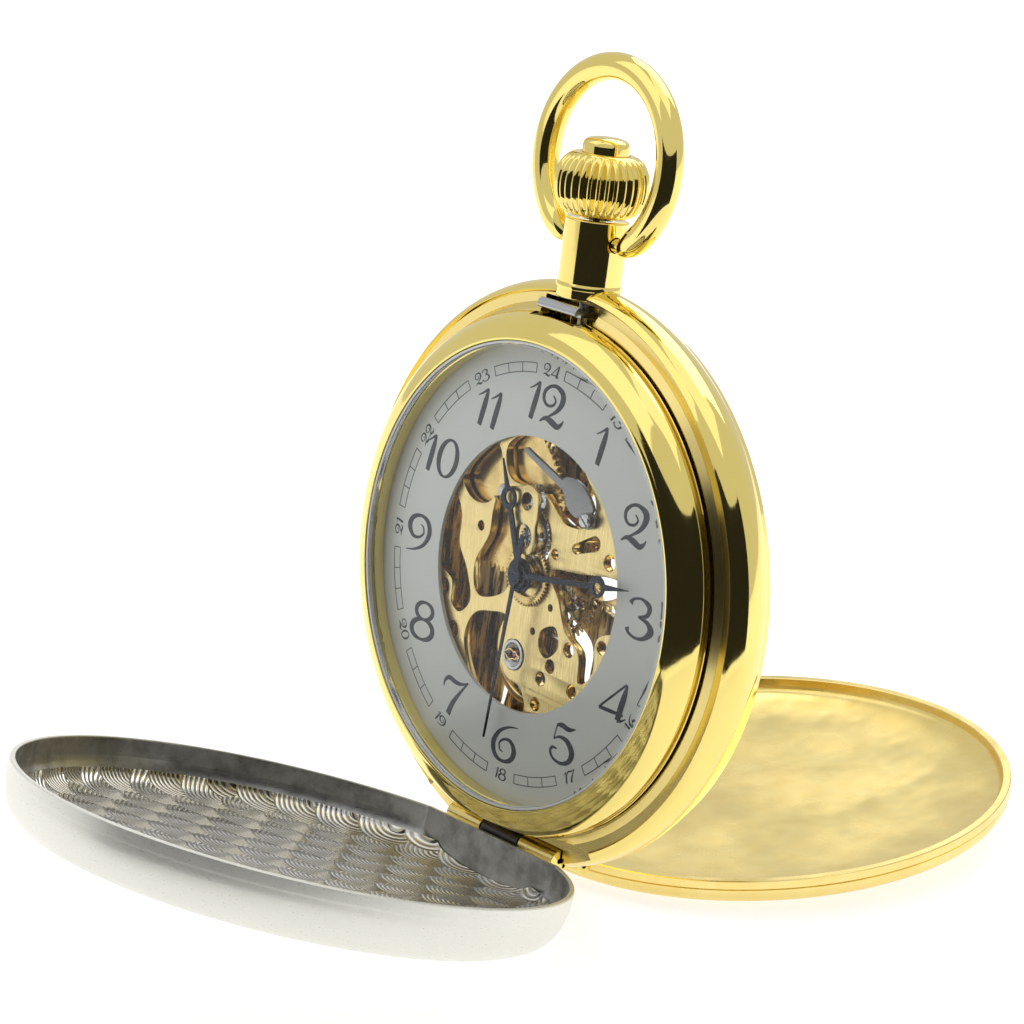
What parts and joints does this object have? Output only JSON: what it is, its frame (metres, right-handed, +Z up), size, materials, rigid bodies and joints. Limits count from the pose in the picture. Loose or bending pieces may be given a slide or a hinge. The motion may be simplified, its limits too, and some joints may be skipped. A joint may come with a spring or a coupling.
{
  "type": "pocket watch",
  "caption": "Skeleton pocket watch in a gold-toned hunter case, standing open on its front and rear covers.",
  "frame": {"origin": "centre of the footprint, on the ground that both open covers stand on", "axes": "+Z up; -Y the way the dial faces and the front cover points; +X towards 3 o'clock"},
  "size_m": [0.0496, 0.0968, 0.0708],
  "materials": {
    "polished_gold": "mirror-polished yellow gold plate over brass",
    "satin_gold": "satin yellow gold plate with soft clouded reflections",
    "silver_plate": "polished silver-toned plate outside, brushed inside",
    "engine_turned_silver": "engine-turned with rows of overlapping fans of fine arcs",
    "crystal": "clear mineral crystal with a pale green edge",
    "gasket": "translucent white nylon",
    "dial_silver": "fine matte silvered dial with dark grey-blue printing",
    "brushed_brass": "gilt, straight-brushed on top with bright bevels",
    "train_brass": "gilt wheels, circular grained",
    "steel": "bright steel, lightly brushed",
    "dark_steel": "blued nearly to black",
    "ruby": "clear red-violet synthetic ruby"
  },
  "bodies": {
    "case": {"case_band": "polished_gold", "front_bezel": "polished_gold", "front_crystal": "crystal", "front_gasket": "gasket", "rear_bezel": "polished_gold", "rear_crystal": "crystal", "rear_gasket": "gasket", "pendant_tube": "polished_gold", "front_hinge_pin": "steel", "rear_hinge_pin": "steel", "dial": "dial_silver", "movement_ring": "brushed_brass", "mainplate": "brushed_brass", "balance_setting": "steel", "balance_jewel": "ruby", "centre_bridge": "brushed_brass", "setting_lever_spring": "steel", "barrel_bridge": "brushed_brass", "train_bridge": "brushed_brass", "balance_cock": "brushed_brass", "pallet_bridge": "brushed_brass", "barrel_bridge_screw": "steel", "train_bridge_screw_1": "steel", "train_bridge_screw_2": "steel", "balance_cock_screw": "steel", "setting_spring_screw": "steel", "case_screw_1": "steel", "case_screw_2": "steel", "hairspring": "dark_steel"},
    "front_cover": {"front_cover": "silver_plate", "front_cover_liner": "engine_turned_silver"},
    "rear_cover": {"rear_cover": "satin_gold"},
    "bow": {"bow": "polished_gold"},
    "winding_pinion": {"winding_pinion": "steel"},
    "crown": {"crown": "polished_gold", "winding_stem": "steel"},
    "crown_button": {"crown_button": "polished_gold"},
    "latch": {"latch": "steel"},
    "seconds_hand": {"fourth_wheel": "train_brass", "seconds_hand": "dark_steel"},
    "minute_hand": {"centre_wheel": "train_brass", "minute_hand": "dark_steel"},
    "hour_hand": {"hour_wheel": "steel", "hour_hand": "dark_steel"},
    "minute_wheel": {"minute_wheel": "steel"},
    "third_wheel": {"third_wheel": "train_brass"},
    "escape_wheel": {"escape_wheel": "steel"},
    "barrel": {"barrel": "train_brass", "barrel_cover": "train_brass", "mainspring": "steel"},
    "crown_wheel": {"crown_wheel": "steel"},
    "ratchet": {"ratchet_wheel": "steel", "ratchet_screw": "steel", "barrel_arbor": "steel"},
    "setting_wheel": {"setting_wheel": "steel"},
    "pallet_fork": {"pallet_fork": "steel"},
    "balance": {"balance_wheel": "train_brass"},
    "click": {"click": "steel"}
  },
  "joints": [
    {"name": "front_cover_hinge", "type": "hinge", "parent": "case", "child": "front_cover", "pos_m": [0, -0.0031, 0.0042], "axis": [-1, 0, 0], "range_deg": [0, 80.4]},
    {"name": "rear_cover_hinge", "type": "hinge", "parent": "case", "child": "rear_cover", "pos_m": [0, 0.0007, 0.00253], "axis": [1, 0, 0], "range_deg": [0, 78.3]},
    {"name": "bow_swing", "type": "hinge", "parent": "case", "child": "bow", "pos_m": [0, 0.00445, 0.05535], "axis": [1, 0, 0], "range_deg": [-93, 97]},
    {"name": "crown_turn", "type": "hinge", "parent": "case", "child": "winding_pinion", "pos_m": [0, 0.0026, 0.03966], "axis": [0, 0.1167, 0.9932], "continuous": true},
    {"name": "crown_pull", "type": "slide", "parent": "winding_pinion", "child": "crown", "axis": [0, 0.1167, 0.9932], "range_m": [0, 0.0009]},
    {"name": "button_press", "type": "slide", "parent": "crown", "child": "crown_button", "axis": [0, -0.1167, -0.9932], "range_m": [0, 0.0008], "stiffness_N_per_m": 600},
    {"name": "latch_slide", "type": "slide", "parent": "case", "child": "latch", "axis": [0, -0.1167, -0.9932], "range_m": [0, 0.00048]},
    {"name": "seconds_hand_turn", "type": "hinge", "parent": "case", "child": "seconds_hand", "pos_m": [0, -0.00156, 0.02736], "axis": [0, 0.9932, -0.1167], "continuous": true},
    {"name": "minute_hand_turn", "type": "hinge", "parent": "case", "child": "minute_hand", "pos_m": [0, -0.00156, 0.02736], "axis": [0, 0.9932, -0.1167], "continuous": true},
    {"name": "hour_hand_turn", "type": "hinge", "parent": "case", "child": "hour_hand", "pos_m": [0, -0.00156, 0.02736], "axis": [0, 0.9932, -0.1167], "continuous": true},
    {"name": "minute_wheel_turn", "type": "hinge", "parent": "case", "child": "minute_wheel", "pos_m": [-0.0006, -0.00119, 0.03054], "axis": [0, 0.9932, -0.1167], "continuous": true},
    {"name": "third_wheel_turn", "type": "hinge", "parent": "case", "child": "third_wheel", "pos_m": [0.0052, -0.00107, 0.03153], "axis": [0, 0.9932, -0.1167], "continuous": true},
    {"name": "escape_wheel_turn", "type": "hinge", "parent": "case", "child": "escape_wheel", "pos_m": [0.0031, -0.00181, 0.02528], "axis": [0, 0.9932, -0.1167], "continuous": true},
    {"name": "barrel_turn", "type": "hinge", "parent": "case", "child": "barrel", "pos_m": [-0.00516, -0.00088, 0.03317], "axis": [0, 0.9932, -0.1167], "continuous": true},
    {"name": "crown_wheel_turn", "type": "hinge", "parent": "case", "child": "crown_wheel", "pos_m": [0, -0.00041, 0.03719], "axis": [0, 0.9932, -0.1167], "continuous": true},
    {"name": "ratchet_turn", "type": "hinge", "parent": "case", "child": "ratchet", "pos_m": [-0.00516, -0.00088, 0.03317], "axis": [0, 0.9932, -0.1167], "continuous": true},
    {"name": "setting_wheel_turn", "type": "hinge", "parent": "case", "child": "setting_wheel", "pos_m": [-0.00067, -0.00084, 0.03352], "axis": [0, 0.9932, -0.1167], "continuous": true},
    {"name": "pallet_fork_rock", "type": "hinge", "parent": "case", "child": "pallet_fork", "pos_m": [0.00125, -0.0021, 0.02279], "axis": [0, 0.9932, -0.1167], "range_deg": [-3, 3]},
    {"name": "balance_swing", "type": "hinge", "parent": "case", "child": "balance", "pos_m": [-0.00083, -0.0024, 0.02021], "axis": [0, 0.9932, -0.1167], "range_deg": [-135, 135], "stiffness_Nm_per_rad": 0.0000004},
    {"name": "click_lift", "type": "hinge", "parent": "case", "child": "click", "pos_m": [-0.0106, -0.00058, 0.0357], "axis": [0, 0.9932, -0.1167], "range_deg": [0, 8], "stiffness_Nm_per_rad": 0.0002}
  ],
  "couplings": [
    {"joint": "latch_slide", "follows": "button_press", "ratio": 0.6},
    {"joint": "minute_hand_turn", "follows": "seconds_hand_turn", "ratio": 0.016667},
    {"joint": "hour_hand_turn", "follows": "seconds_hand_turn", "ratio": 0.0013889},
    {"joint": "minute_wheel_turn", "follows": "seconds_hand_turn", "ratio": -0.0055556},
    {"joint": "third_wheel_turn", "follows": "seconds_hand_turn", "ratio": -0.13333},
    {"joint": "escape_wheel_turn", "follows": "seconds_hand_turn", "ratio": -10},
    {"joint": "barrel_turn", "follows": "seconds_hand_turn", "ratio": -0.0027778},
    {"joint": "crown_wheel_turn", "follows": "crown_turn", "ratio": -0.66667},
    {"joint": "ratchet_turn", "follows": "crown_turn", "ratio": 0.44444}
  ]
}
